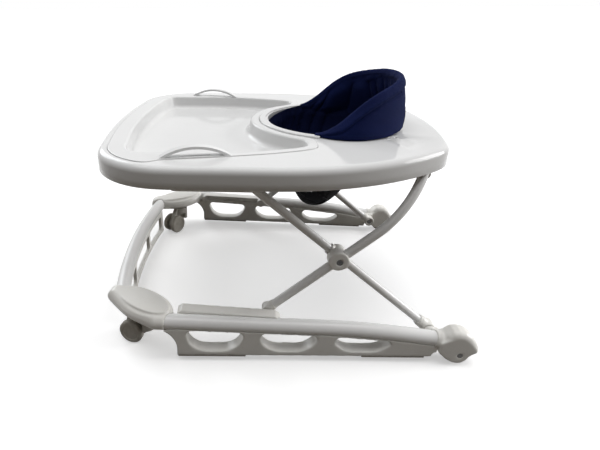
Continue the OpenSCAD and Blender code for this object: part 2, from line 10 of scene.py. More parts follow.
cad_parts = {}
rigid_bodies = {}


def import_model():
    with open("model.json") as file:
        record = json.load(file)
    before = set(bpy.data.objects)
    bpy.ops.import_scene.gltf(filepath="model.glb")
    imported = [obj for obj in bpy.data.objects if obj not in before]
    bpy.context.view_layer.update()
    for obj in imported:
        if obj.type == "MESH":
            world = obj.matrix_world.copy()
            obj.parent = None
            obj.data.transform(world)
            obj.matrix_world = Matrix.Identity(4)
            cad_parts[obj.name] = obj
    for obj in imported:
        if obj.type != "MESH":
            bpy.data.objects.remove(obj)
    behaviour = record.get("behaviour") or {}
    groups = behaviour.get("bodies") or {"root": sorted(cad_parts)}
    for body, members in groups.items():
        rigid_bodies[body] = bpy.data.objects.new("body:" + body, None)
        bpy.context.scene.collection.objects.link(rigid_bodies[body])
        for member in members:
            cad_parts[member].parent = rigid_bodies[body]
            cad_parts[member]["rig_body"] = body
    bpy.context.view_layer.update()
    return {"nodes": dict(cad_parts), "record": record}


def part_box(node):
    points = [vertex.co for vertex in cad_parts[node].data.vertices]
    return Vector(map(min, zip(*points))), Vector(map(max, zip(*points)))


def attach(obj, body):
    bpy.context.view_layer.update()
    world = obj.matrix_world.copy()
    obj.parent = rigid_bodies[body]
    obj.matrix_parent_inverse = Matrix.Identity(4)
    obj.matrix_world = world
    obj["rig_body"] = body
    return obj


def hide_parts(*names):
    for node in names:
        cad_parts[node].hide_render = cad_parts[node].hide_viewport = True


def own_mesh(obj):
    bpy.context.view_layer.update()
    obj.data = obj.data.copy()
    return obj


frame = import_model()
NODES = frame["nodes"]
SLOT_OF = {s["node"]: s["material_slot"] for s in frame["record"]["subparts"]}
# the child's left is towards negative y
HANDS = {"left": -1, "right": 1}
random.seed(4)

# ---------------------------------------------------------------- camera

# the camera stands on the child's left, a little in front of the middle, and looks down
CAM_AT = Vector((-0.08315, -0.97001, 0.62492))
CAM_YAW, CAM_PITCH, CAM_ROLL = 0.0649, 0.4544, 0.0058
LENS = 27.01
SHIFT = (0.1389, -0.0075)


def make_camera():
    """The camera that sees the walker as the photograph does."""
    forward = Vector((-math.sin(CAM_YAW) * math.cos(CAM_PITCH),
                      math.cos(CAM_YAW) * math.cos(CAM_PITCH), -math.sin(CAM_PITCH)))
    level = Vector((math.cos(CAM_YAW), math.sin(CAM_YAW), 0))
    down = forward.cross(level)
    right = math.cos(CAM_ROLL) * level + math.sin(CAM_ROLL) * down
    up = math.sin(CAM_ROLL) * level - math.cos(CAM_ROLL) * down
    turn = Matrix((right, up, -forward)).transposed().to_4x4()
    data = bpy.data.cameras.new("camera")
    data.lens = LENS
    data.sensor_width = 36
    data.shift_x, data.shift_y = SHIFT
    data.clip_start, data.clip_end = 0.01, 50
    camera = bpy.data.objects.new("camera", data)
    camera.matrix_world = Matrix.Translation(CAM_AT) @ turn
    bpy.context.scene.collection.objects.link(camera)
    bpy.context.scene.camera = camera


# ---------------------------------------------------------------- materials

class Nodes:
    """Short ways to add shader nodes to a tree."""

    def __init__(self, tree, place):
        self.tree = tree
        self.place = self.node("ShaderNodeTexCoord").outputs[place]

    def node(self, kind, **values):
        made = self.tree.nodes.new(kind)
        for key, value in values.items():
            if key in made.inputs:
                made.inputs[key].default_value = value
            else:
                setattr(made, key, value)
        return made

    def link(self, a, b):
        self.tree.links.new(a, b)

    def cloud(self, scale, detail=3, roughness=0.5):
        made = self.node("ShaderNodeTexNoise", Scale=scale, Detail=detail, Roughness=roughness)
        self.link(self.place, made.inputs["Vector"])
        return made.outputs["Fac"]

    def ramp(self, value, stops):
        made = self.node("ShaderNodeValToRGB")
        while len(made.color_ramp.elements) < len(stops):
            made.color_ramp.elements.new(0.5)
        for element, (at, colour) in zip(made.color_ramp.elements, stops):
            element.position = at
            element.color = (*colour, 1) if len(colour) == 3 else (colour[0],) * 3 + (1,)
        self.link(value, made.inputs["Fac"])
        return made.outputs["Color"]

    def mix(self, factor, a, b):
        made = self.node("ShaderNodeMix", data_type="RGBA")
        for socket, value in ((0, factor), (6, a), (7, b)):
            if hasattr(value, "node"):
                self.link(value, made.inputs[socket])
            elif socket == 0:
                made.inputs[socket].default_value = value
            else:
                made.inputs[socket].default_value = (*value, 1)
        return made.outputs[2]


class Sky(Nodes):
    """The world's shader tree."""

    def __init__(self, world):
        super().__init__(world.node_tree, "Generated")


class Shader(Nodes):
    """A material with a Principled shader and short ways to set what feeds it."""

    def __init__(self, name, colour, roughness, **fixed):
        self.material = bpy.data.materials.new(name)
        self.material.use_nodes = True
        super().__init__(self.material.node_tree, "Object")
        self.bsdf = self.tree.nodes["Principled BSDF"]
        self.bsdf.inputs["Base Color"].default_value = (*colour, 1)
        self.bsdf.inputs["Roughness"].default_value = roughness
        for socket, value in fixed.items():
            self.bsdf.inputs[socket.replace("_", " ")].default_value = value

    def colour(self, value):
        self.link(value, self.bsdf.inputs["Base Color"])

    def rough(self, value, low, high):
        made = self.node("ShaderNodeMapRange")
        made.inputs["To Min"].default_value = low
        made.inputs["To Max"].default_value = high
        self.link(value, made.inputs["Value"])
        self.link(made.outputs["Result"], self.bsdf.inputs["Roughness"])

    def bump(self, height, distance, strength=1.0, rounded=0.0):
        made = self.node("ShaderNodeBump", Distance=distance, Strength=strength)
        self.link(height, made.inputs["Height"])
        if rounded:
            edge = self.node("ShaderNodeBevel", Radius=rounded)
            self.link(edge.outputs["Normal"], made.inputs["Normal"])
        self.link(made.outputs["Normal"], self.bsdf.inputs["Normal"])


def deck_plastic():
    """Polished white moulding with faint haze and a few fine scuffs."""
    s = Shader("deck_plastic", (0.75, 0.75, 0.745), 0.14, IOR=1.46, Specular_IOR_Level=0.3)
    tint = s.ramp(s.cloud(5.0, 4, 0.6), ((0.3, (0.735, 0.735, 0.73)), (0.7, (0.765, 0.765, 0.762))))
    dust = s.ramp(s.cloud(260.0, 2), ((0.58, (0.0,)), (0.74, (0.08,))))
    s.colour(s.mix(dust, tint, (0.60, 0.57, 0.52)))
    s.rough(s.cloud(34.0, 5, 0.65), 0.06, 0.15)
    s.bump(s.cloud(16.0, 3, 0.5), 0.0010, 0.08)
    return s.material


def frame_plastic():
    """Semi-gloss off-white moulding, a little yellowed and rubbed."""
    s = Shader("frame_plastic", (0.86, 0.846, 0.803), 0.3, IOR=1.46)
    tint = s.ramp(s.cloud(9.0, 5, 0.62), ((0.32, (0.83, 0.814, 0.768)), (0.68, (0.887, 0.876, 0.84))))
    grime = s.ramp(s.cloud(48.0, 6, 0.7), ((0.58, (0.0,)), (0.82, (0.22,))))
    s.colour(s.mix(grime, tint, (0.50, 0.46, 0.39)))
    s.rough(s.cloud(60.0, 5, 0.6), 0.22, 0.40)
    s.bump(s.cloud(420.0, 3, 0.6), 0.0004, 0.15, 0.003)
    return s.material


def tube_enamel():
    """White enamel on steel tube, chipped in a few specks."""
    s = Shader("tube_enamel", (0.88, 0.876, 0.865), 0.22, IOR=1.5)
    tint = s.ramp(s.cloud(12.0, 4, 0.6), ((0.35, (0.865, 0.86, 0.85)), (0.65, (0.90, 0.897, 0.888))))
    speck = s.ramp(s.cloud(230.0, 3, 0.6), ((0.72, (0.0,)), (0.76, (0.35,))))
    s.colour(s.mix(speck, tint, (0.46, 0.44, 0.40)))
    s.rough(s.cloud(40.0, 5, 0.6), 0.16, 0.30)
    s.bump(s.cloud(90.0, 3, 0.5), 0.0003, 0.15, 0.0004)
    return s.material


def steel():
    """Blackened screw and axle ends; also the painted shade of the dark discs in the deck's small holes.
    """
    s = Shader("dark_steel_and_hole_shade", (0.06, 0.057, 0.053), 0.42, Metallic=0.3)
    s.colour(s.ramp(s.cloud(160.0, 5, 0.6), ((0.3, (0.042, 0.040, 0.038)), (0.7, (0.085, 0.081, 0.076)))))
    s.rough(s.cloud(320.0, 4, 0.6), 0.26, 0.5)
    s.bump(s.cloud(700.0, 3), 0.0002, 0.3, 0.0003)
    return s.material


def rubber():
    """Grey-brown rubber with worn patches."""
    s = Shader("rubber", (0.42, 0.395, 0.35), 0.62)
    s.colour(s.ramp(s.cloud(70.0, 6, 0.65), ((0.3, (0.34, 0.315, 0.27)), (0.7, (0.49, 0.465, 0.42)))))
    s.rough(s.cloud(120.0, 5, 0.6), 0.5, 0.8)
    s.bump(s.cloud(520.0, 4, 0.6), 0.0006, 0.3, 0.0008)
    return s.material


def caster_plastic():
    """Dull grey-beige plastic of the wheels and forks."""
    s = Shader("caster_plastic", (0.55, 0.53, 0.49), 0.42)
    s.colour(s.ramp(s.cloud(60.0, 6, 0.65), ((0.3, (0.47, 0.45, 0.405)), (0.7, (0.61, 0.595, 0.56)))))
    s.rough(s.cloud(90.0, 5, 0.6), 0.38, 0.6)
    s.bump(s.cloud(480.0, 4, 0.6), 0.0004, 0.25, 0.0008)
    return s.material


def woven(name, dark, light, thread, sheen):
    """Plain-weave cloth: two crossed thread waves, slubs and a soft sheen."""
    s = Shader(name, dark, 0.82, Sheen_Weight=sheen, Sheen_Roughness=0.5, Specular_IOR_Level=0.06)
    warp = s.node("ShaderNodeTexWave", Scale=thread, Distortion=0.6, Detail=1.0)
    weft = s.node("ShaderNodeTexWave", Scale=thread, Distortion=0.6, Detail=1.0)
    warp.bands_direction = "Z"
    weft.bands_direction = "DIAGONAL"
    for wave in (warp, weft):
        s.link(s.place, wave.inputs["Vector"])
    cross = s.node("ShaderNodeMath", operation="MULTIPLY")
    s.link(warp.outputs["Fac"], cross.inputs[0])
    s.link(weft.outputs["Fac"], cross.inputs[1])
    patches = s.ramp(s.cloud(26.0, 5, 0.6), ((0.3, dark), (0.7, light)))
    s.colour(s.mix(cross.outputs[0], patches, tuple(c * 1.5 + 0.002 for c in light)))
    s.rough(s.cloud(300.0, 3), 0.72, 0.92)
    s.bump(cross.outputs[0], 0.0005, 0.55)
    return s.material


def seen_share(s):
    """1 for rays from the camera, in reflections and through glass, 0 in bounced light."""
    path = s.node("ShaderNodeLightPath")
    first = s.node("ShaderNodeMath", operation="MAXIMUM")
    second = s.node("ShaderNodeMath", operation="MAXIMUM")
    s.link(path.outputs["Is Camera Ray"], first.inputs[0])
    s.link(path.outputs["Is Glossy Ray"], first.inputs[1])
    s.link(first.outputs[0], second.inputs[0])
    s.link(path.outputs["Is Transmission Ray"], second.inputs[1])
    return second.outputs[0]


def plain_floor():
    """Pale to the camera; in bounced light a dull room floor."""
    s = Shader("floor", (0.9, 0.9, 0.9), 0.9, Specular_IOR_Level=0.0)
    seen = seen_share(s)
    s.colour(s.mix(seen, (0.075, 0.055, 0.032), (0.80, 0.80, 0.80)))
    s.bsdf.inputs["Emission Color"].default_value = (0.42, 0.42, 0.42, 1)
    s.link(seen, s.bsdf.inputs["Emission Strength"])
    return s.material


MATERIALS = {
    "deck_plastic": deck_plastic(),
    "frame_plastic": frame_plastic(),
    "tube": tube_enamel(),
    "steel": steel(),
    "rubber": rubber(),
    "caster_plastic": caster_plastic(),
    "fabric": woven("navy_cloth", (0.0024, 0.0055, 0.036), (0.0045, 0.0094, 0.054), 900.0, 0.01),
    "lining": woven("navy_lining", (0.0014, 0.0030, 0.019), (0.0026, 0.0052, 0.030), 900.0, 0.0),
    "sling_fabric": woven("black_cloth", (0.0015, 0.0015, 0.002), (0.004, 0.004, 0.0045), 900.0, 0.02),
    "binding": woven("binding_tape", (0.006, 0.006, 0.007), (0.012, 0.012, 0.0135), 1400.0, 0.02),
}

for node, cad in NODES.items():
    cad.data.materials.clear()
    cad.data.materials.append(MATERIALS[SLOT_OF[node]])


# ---------------------------------------------------------------- light and floor

LIT_POINT = Vector((0, 0, 0.3))
FLOOR_SIZE = 80


def sun(name, at, strength, spread, colour=(1, 1, 1)):
    """A soft distant lamp; its light comes from a place towards the middle of the walker."""
    data = bpy.data.lights.new(name, "SUN")
    data.energy = strength
    data.angle = math.radians(spread)
    data.color = colour
    lamp = bpy.data.objects.new(name, data)
    lamp.location = at
    lamp.rotation_mode = "QUATERNION"
    lamp.rotation_quaternion = (LIT_POINT - Vector(at)).to_track_quat("-Z", "Y")
    bpy.context.scene.collection.objects.link(lamp)


def studio():
    """Soft light from above, from behind the seat and a weak cool one from the far front."""
    sun("top", (-0.1, 0.05, 1.9), 1.8, 60)
    sun("rear", (1.9, 0.25, 0.9), 2.0, 34)
    sun("far_front", (-1.1, 1.5, 1.2), 0.7, 30, (0.93, 0.97, 1.0))
    bpy.ops.mesh.primitive_plane_add(size=FLOOR_SIZE)
    floor = bpy.context.object
    floor.name = "floor"
    floor.data.materials.append(plain_floor())
    # the dome is dark at the horizon and grey overhead, and plain white where it is seen
    world = bpy.data.worlds.new("studio")
    bpy.context.scene.world = world
    world.use_nodes = True
    sky = Sky(world)
    split = sky.node("ShaderNodeSeparateXYZ")
    sky.link(sky.place, split.inputs[0])
    dome = sky.ramp(split.outputs["Z"], ((0.02, (0.012, 0.010, 0.008)), (0.4, (0.03, 0.028, 0.026)),
                                         (0.95, (0.36, 0.36, 0.365))))
    sky.link(sky.mix(seen_share(sky), dome, (1, 1, 1)), sky.tree.nodes["Background"].inputs["Color"])
    bpy.context.scene.view_settings.view_transform = "Standard"


make_camera()
studio()

# ---------------------------------------------------------------- mesh helpers

MM = 0.001


def smooth(t):
    """From 0 to 1 as t does, with soft ends."""
    t = min(max(t, 0.0), 1.0)
    return t * t * (3 - 2 * t)


def along(points, t):
    """Value at t on a smooth curve through (t, value) pairs."""
    t = min(max(t, points[0][0]), points[-1][0])
    i = max(k for k in range(len(points) - 1) if points[k][0] <= t)

    def slope(k):
        low, high = points[max(k - 1, 0)], points[min(k + 1, len(points) - 1)]
        return (high[1] - low[1]) / (high[0] - low[0])

    (t0, v0), (t1, v1) = points[i], points[i + 1]
    u = (t - t0) / (t1 - t0)
    wide = t1 - t0
    return (v0 * (1 + 2 * u) * (1 - u) ** 2 + v1 * u * u * (3 - 2 * u)
            + slope(i) * wide * u * (1 - u) ** 2 - slope(i + 1) * wide * u * u * (1 - u))


def new_piece(name, bm, material, body="deck"):
    """A smooth-shaded object made from bm, which rides on a body."""
    mesh = bpy.data.meshes.new(name)
    bm.to_mesh(mesh)
    bm.free()
    piece = bpy.data.objects.new(name, mesh)
    bpy.context.scene.collection.objects.link(piece)
    mesh.materials.append(MATERIALS[material])
    for polygon in mesh.polygons:
        polygon.use_smooth = True
    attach(piece, body)
    return piece


def modify(piece, kind, **values):
    """A new modifier with its values set."""
    made = piece.modifiers.new(kind.lower(), kind)
    for key, value in values.items():
        setattr(made, key, value)
    return made


def apply_all(piece):
    """Makes what the modifiers give the piece's own mesh."""
    bpy.context.view_layer.update()
    evaluated = piece.evaluated_get(bpy.context.evaluated_depsgraph_get())
    mesh = bpy.data.meshes.new_from_object(evaluated)
    piece.modifiers.clear()
    piece.data = mesh
    for polygon in mesh.polygons:
        polygon.use_smooth = True


def grid_loops(bm, rows, close_rows=False, close_columns=False):
    """Faces between rows of points; returns the rows' vertices."""
    made = [[bm.verts.new(p) for p in row] for row in rows]
    pairs = list(zip(made, made[1:] + made[:1]))
    for a, b in pairs if close_rows else pairs[:-1]:
        for i in range(len(a) if close_columns else len(a) - 1):
            j = (i + 1) % len(a)
            bm.faces.new((a[i], a[j], b[j], b[i]))
    return made


# ---------------------------------------------------------------- deck and tray mouldings

DECK_LOW, DECK_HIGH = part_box("deck_shell")
TRAY_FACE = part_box("snack_tray")[1][2]
WALL = 0.0024
DISH_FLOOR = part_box("snack_tray")[0][2] + WALL
DECK_TOP = DECK_HIGH[2]
# the seat's axis lies the ring's radius and its flange in front of the ring's rear edge
RING_RADIUS = 0.137
RING_FLANGE = 0.0046
SEAT_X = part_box("seat_ring")[1][0] - RING_RADIUS - RING_FLANGE
SEAT_HOLE = 0.140
SEAT_COLLAR = 0.014
DECK_EDGE = 0.012
LEDGE_DEPTH = 0.0016
# the small dark holes beside the backrest, behind and to the sides of the seat's axis; a dark domed disc
# in each is painted shade that makes the hole look black
HOLE_BACK, HOLE_OUT = 0.096, 0.130
SHADE_DISC_RADIUS = 0.0025
SHADE_DISC_DOME = 0.0016
HOLE_RADIUS = 0.0028
# how far a pull handle is turned on the tray, and the finger dent under it
GRIP_TURN = math.radians(11)
DENT_HALF = 0.026
DENT_FLATNESS = 0.13


def face_loops(node, z):
    """Outlines, longest first, of a node's flat upward faces at a height."""
    bm = bmesh.new()
    bm.from_mesh(NODES[node].data)
    others = [f for f in bm.faces if f.normal.z < 0.99 or abs(f.calc_center_median().z - z) > 1e-4]
    bmesh.ops.delete(bm, geom=others, context="FACES")
    bmesh.ops.remove_doubles(bm, verts=bm.verts, dist=1e-5)
    bm.edges.index_update()
    rim = {e.index: e for e in bm.edges if e.is_boundary}
    loops = []
    while rim:
        edge = rim.pop(min(rim))
        first, vertex = edge.verts
        loop = [first.co.copy()]
        while vertex is not first:
            loop.append(vertex.co.copy())
            edge = next(e for e in vertex.link_edges if e.index in rim)
            del rim[edge.index]
            vertex = edge.other_vert(vertex)
        loops.append(loop)
    bm.free()
    return sorted(loops, key=lambda loop: -sum((b - a).length for a, b in zip(loop, loop[1:])))


def even_loop(points, step, soften):
    """The closed loop anticlockwise with even steps, its corners softened over a length."""
    turn = sum(a.x * b.y - b.x * a.y for a, b in zip(points, points[1:] + points[:1]))
    points = points if turn > 0 else points[::-1]
    start = max(range(len(points)), key=lambda i: points[i].x + 0.01 * points[i].y)
    points = points[start:] + points[:start + 1]
    lengths = [(b - a).length for a, b in zip(points, points[1:])]
    count = round(sum(lengths) / step)
    made, i, passed = [], 0, 0.0
    for k in range(count):
        want = k * sum(lengths) / count
        while passed + lengths[i] < want:
            passed += lengths[i]
            i += 1
        made.append(points[i].lerp(points[i + 1], (want - passed) / lengths[i]))
    for _ in range(round(2 * (soften / step) ** 2)):
        made = [(made[k - 1] + made[k] * 2 + made[(k + 1) % count]) / 4 for k in range(count)]
    return made


def circle(x, y, radius, count):
    """Points on a level circle, anticlockwise."""
    turns = [2 * math.pi * i / count for i in range(count)]
    return [Vector((x + radius * math.cos(a), y + radius * math.sin(a), 0)) for a in turns]


def rings(bm, loop, profile):
    """Rings of faces that follow a loop; profile is (distance inward, height) pairs.

    Where the loop is too narrow or too sharp for a distance, its ring stops short of crossing itself.
    """
    count = len(loop)
    tangents = [loop[(i + 1) % count] - loop[i - 1] for i in range(count)]
    inward = [Vector((-t.y, t.x, 0)).normalized() for t in tangents]
    near = KDTree(count)
    for i, p in enumerate(loop):
        near.insert((p.x, p.y, 0), i)
    near.balance()
    deepest = max(d for d, _ in profile)
    reach = []
    for p, n in zip(loop, inward):
        low, high = 0.0, max(deepest, 0.0)
        for _ in range(10):
            middle = (low + high) / 2
            clear = near.find((p.x + n.x * middle, p.y + n.y * middle, 0))[2] > middle - 0.0005
            low, high = (middle, high) if clear else (low, middle)
        reach.append(high)
    rows = []
    for d, z in profile:
        spots = [p + n * min(d, far) for p, n, far in zip(loop, inward, reach)]
        rows.append([Vector((q.x, q.y, z)) for q in spots])
    return grid_loops(bm, rows, close_columns=True)


def fill(bm, *loops):
    """A flat face between an outer loop of vertices and the holes in it."""
    edges = []
    for loop in loops:
        for a, b in zip(loop, loop[1:] + loop[:1]):
            edges.append(bm.edges.get((a, b)) or bm.edges.new((a, b)))
    bmesh.ops.triangle_fill(bm, edges=edges, use_beauty=True, normal=(0, 0, 1))


def arc_profile(inset, z, radius, start, end, steps):
    """(distance inward, height) pairs on an arc round (inset, z), angles from straight down."""
    angles = [math.radians(start + (end - start) * i / steps) for i in range(steps + 1)]
    return [(inset + radius * math.sin(a), z - radius * math.cos(a)) for a in angles]


def moulding(name, bm, material, replaced, body):
    """The open surface made into a shell with the moulding's wall behind it."""
    bmesh.ops.remove_doubles(bm, verts=bm.verts, dist=2e-5)
    bmesh.ops.recalc_face_normals(bm, faces=bm.faces)
    if sum(f.normal.z * f.calc_area() for f in bm.faces) < 0:
        bmesh.ops.reverse_faces(bm, faces=bm.faces)
    piece = new_piece(name, bm, material, body)
    modify(piece, "SOLIDIFY", thickness=WALL, offset=-1)
    apply_all(piece)
    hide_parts(replaced)


TRAY_EDGE, DISH_EDGE = [even_loop(loop, 0.003, 0.008) for loop in face_loops("snack_tray", TRAY_FACE)[:2]]


def deck_outline():
    """The deck's plan, which is convex, from the corners of its lower rim."""
    rim = [v.co for v in NODES["deck_shell"].data.vertices if v.co.z < DECK_LOW[2] + 0.001]
    bm = bmesh.new()
    for p in rim:
        bm.verts.new((p.x, p.y, 0))
    bm.verts.new((0, 0, 1))
    hull = bmesh.ops.convex_hull(bm, input=bm.verts)["geom"]
    faces = [f for f in hull if isinstance(f, bmesh.types.BMFace)]
    corners = {tuple(v.co) for f in faces for v in f.verts if v.co.z < 0.5}
    bm.free()
    return sorted((Vector(c) for c in corners), key=lambda c: math.atan2(c.y, c.x))


def deck_hole_shade(hand):
    """A dark domed disc, shaped like a pan-head screw, in its recess beside the backrest: painted shade
    that makes the small hole look black.
    """
    profile = [(0.0, DECK_TOP - 0.0019)]
    for i in range(6):
        a = math.pi / 2 * i / 5
        inset = 0.0004 + 0.6 * SHADE_DISC_DOME * (1 - math.cos(a))
        profile.append((inset, DECK_TOP - 0.0022 + SHADE_DISC_DOME * math.sin(a)))
    bm = bmesh.new()
    made = rings(bm, circle(SEAT_X + HOLE_BACK, HANDS[hand] * HOLE_OUT, SHADE_DISC_RADIUS, 20), profile)
    bm.faces.new(made[-1])
    bm.faces.new(reversed(made[0]))
    bmesh.ops.recalc_face_normals(bm, faces=bm.faces)
    new_piece("deck_hole_shade_" + hand, bm, "steel")


def deck_moulding():
    """Rim, rounded shoulder, top with the seat's hole, and the pan beneath the tray."""
    bm = bmesh.new()
    low = DECK_LOW[2]
    shoulder = arc_profile(DECK_EDGE, DECK_TOP - DECK_EDGE, DECK_EDGE, -90, -180, 10)
    skirt = [(0.0008, low), (0.0, low + 0.001), (0.0, low + 0.012)] + shoulder + [(0.0135, DECK_TOP)]
    rim = rings(bm, even_loop(deck_outline(), 0.005, 0.014), skirt)
    seat = rings(bm, circle(SEAT_X, 0, SEAT_HOLE, 180),
                 [(-0.001, DECK_TOP), (0, DECK_TOP), (0, DECK_TOP - SEAT_COLLAR)])
    ledge = DECK_TOP - LEDGE_DEPTH
    pan = [(-0.002, DECK_TOP), (-0.001, DECK_TOP), (-0.0007, DECK_TOP - 0.0003), (-0.0006, ledge),
           (0.0055, ledge), (0.006, ledge - 0.0005), (0.006, low + 0.009), (0.0085, low + 0.0066)]
    well = rings(bm, TRAY_EDGE, pan)
    fill(bm, well[-1])
    holes = []
    # the two small holes beside the backrest; their dark is painted shade from the discs set into them
    for side in HANDS.values():
        hole = rings(bm, circle(SEAT_X + HOLE_BACK, side * HOLE_OUT, HOLE_RADIUS, 20),
                     [(-0.0005, DECK_TOP), (0, DECK_TOP - 0.0004), (0, DECK_TOP - 0.002)])
        fill(bm, hole[-1])
        holes.append(hole[0])
    fill(bm, rim[-1], seat[0], well[0], *holes)
    moulding("deck_moulding", bm, "deck_plastic", "deck_shell", "deck")


def finger_dent(bm, hand):
    """A shallow hollow in the tray's face under a pull handle."""
    low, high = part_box("tray_grip_" + hand)
    middle = Vector(((low[0] + high[0]) / 2, (low[1] + high[1]) / 2, 0))
    turn = Matrix.Rotation(-HANDS[hand] * GRIP_TURN, 3, "Z")
    points = circle(0, 0, DENT_HALF, 60)
    oval = [turn @ Vector((p.x, p.y * DENT_FLATNESS, 0)) + middle for p in points]
    made = rings(bm, oval, [(-0.0006, TRAY_FACE), (0, TRAY_FACE), (0.0008, TRAY_FACE - 0.0005),
                            (0.0018, TRAY_FACE - 0.0012)])
    fill(bm, made[-1])
    return made[0]


def tray_moulding():
    """Flat rim with a thin lip, and a dish with sloping walls and a broad round at its floor."""
    bm = bmesh.new()
    lip = [(0.0, TRAY_FACE - 0.0026), (0.0, TRAY_FACE - 0.0009), (0.0003, TRAY_FACE - 0.0003),
           (0.0010, TRAY_FACE), (0.002, TRAY_FACE)]
    edge = rings(bm, TRAY_EDGE, lip)
    draft = 78
    top, bottom = 0.005, 0.0125
    shoulder = arc_profile(0.0, TRAY_FACE - top, top, 180, 180 - draft, 6)
    turn = arc_profile(0.0, DISH_FLOOR + bottom, bottom, -draft, 0, 8)
    start, end = shoulder[-1], turn[0]
    run = (start[1] - end[1]) / math.tan(math.radians(draft))
    turn = [(start[0] + run + d - end[0], z) for d, z in turn]
    dish = [(-0.0015, TRAY_FACE)] + shoulder + turn + [(turn[-1][0] + 0.0015, DISH_FLOOR)]
    bowl = rings(bm, DISH_EDGE, dish)
    fill(bm, bowl[-1])
    fill(bm, edge[-1], bowl[0], *[finger_dent(bm, hand) for hand in HANDS])
    moulding("tray_moulding", bm, "deck_plastic", "snack_tray", "tray")


# ---------------------------------------------------------------- mouldings of the frame

SKIRT_THICK = 0.028
# start and end of each window from the skirt's front end, its sill and its lintel
SKIRT_WINDOWS = ((0.0398, 0.1558, 0.024, 0.068), (0.1788, 0.2958, 0.024, 0.062),
                 (0.3178, 0.4378, 0.024, 0.054))
WINDOW_SLANT = 0.016
WEB_LONG = 0.032
WEB_TALL = 0.030
WEB_STEPS = 8
# how far a web goes into the wall round its window, and how far its ends stay behind the skirt's faces
WEB_ROOT = 0.001
WEB_RECESS = 0.0004
# node, name of the piece that stands for it, voxel size and smoothing passes
SHELLS = (("rear_housing", "housing_shell", 0.0013, 16), ("corner_pod", "pod_shell", 0.0014, 9),
          ("arm_boot", "boot_shell", 0.0010, 8), ("slide_track", "track_shell", 0.0013, 6),
          ("hub_outer", "hub_shell", 0.0009, 7))


def corner_webs(bm, side):
    """Webs that round off the lower corners of a side skirt's three windows."""
    low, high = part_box("side_skirt_right")
    turn = math.atan2(high[1] - low[1] - SKIRT_THICK, high[0] - low[0])
    front = Vector((low[0] + SKIRT_THICK * math.sin(turn), high[1], 0))
    tilt = Matrix.Rotation(-turn, 3, "Z")
    for start, end, sill, lintel in SKIRT_WINDOWS:
        lean = WINDOW_SLANT / (lintel - sill)
        for corner, way in ((start + WINDOW_SLANT, 1), (end - WINDOW_SLANT, -1)):
            outline = [(corner - way * WEB_ROOT, sill - WEB_ROOT)]
            for i in range(WEB_STEPS + 1):
                t = i / WEB_STEPS
                forward, up = (1 - t) ** 2 * WEB_LONG, t ** 2 * WEB_TALL
                outline.append((corner + way * (forward - lean * up), sill + up))
            ends = []
            for y in (WEB_RECESS - SKIRT_THICK, -WEB_RECESS):
                points = [tilt @ Vector((x, y, z)) + front for x, z in outline]
                ends.append([bm.verts.new((p.x, p.y * side, p.z)) for p in points])
            bm.faces.new(ends[0])
            bm.faces.new(reversed(ends[1]))
            for i in range(len(outline)):
                j = (i + 1) % len(outline)
                bm.faces.new((ends[0][j], ends[0][i], ends[1][i], ends[1][j]))


def softened(node, name, voxel, passes, web_side=0):
    """A CAD moulding with its edges rounded over, as they come out of a mould."""
    bm = bmesh.new()
    bm.from_mesh(NODES[node].data)
    bmesh.ops.remove_doubles(bm, verts=bm.verts, dist=1e-6)
    if web_side:
        corner_webs(bm, web_side)
        bmesh.ops.recalc_face_normals(bm, faces=bm.faces)
    piece = new_piece(name, bm, SLOT_OF[node], NODES[node]["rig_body"])
    modify(piece, "REMESH", mode="VOXEL", voxel_size=voxel)
    modify(piece, "SMOOTH", factor=0.5, iterations=passes)
    apply_all(piece)
    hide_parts(node)


for hand in HANDS:
    for node, shell, voxel, passes in SHELLS:
        softened(node + "_" + hand, shell + "_" + hand, voxel, passes)
for hand, side in HANDS.items():
    softened("side_skirt_" + hand, "skirt_shell_" + hand, 0.0015, 5, side)
deck_moulding()
# dark discs set into the deck's small holes: painted shade
for hand in HANDS:
    deck_hole_shade(hand)
tray_moulding()

# ---------------------------------------------------------------- fabric seat

BAG_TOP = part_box("seat_sling")[1][2]
BAG_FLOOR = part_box("seat_sling")[0][2]
# how far the bag's axis moves forward for each length down
BAG_LEAN = 0.13
# the backrest ends at this many degrees to each side of straight back
BACK_END = 113
HEM_TALL = 0.021
# air between the padded back and the deck
BACK_GAP = 0.0006
CLOTH_FRAMES = 20
CLOTH_THICK = 0.0014
TAPE_RADIUS = 0.0017
LEG_STEPS = 72

# backrest by degrees from straight back, in mm: rim's height above the deck, outer radius at deck, at rim
RIM_HEIGHT = ((0, 103), (29, 100), (54, 90), (68, 80), (80, 63), (89, 44), (97, 26), (106, 12), (113, 7))
FOOT_RADIUS = ((0, 144), (25, 145), (46, 152), (67, 163), (82, 166), (94, 161), (113, 147))
RIM_RADIUS = ((0, 126), (40, 133), (80, 146), (113, 144))


def all_round(count):
    """Angles all the way round the seat's axis, from straight ahead."""
    return [math.radians(360 * k / count - 180) for k in range(count)]


def at_seat(angle, radius, z):
    """A point round the seat's axis, which leans forward below the deck."""
    x = SEAT_X - BAG_LEAN * max(DECK_TOP - z, 0.0)
    return Vector((x + radius * math.cos(angle), radius * math.sin(angle), z))


def back_value(table, angle):
    """A measure of the back, in metres, from its table at an angle."""
    return along(table, abs(math.degrees(angle))) * MM


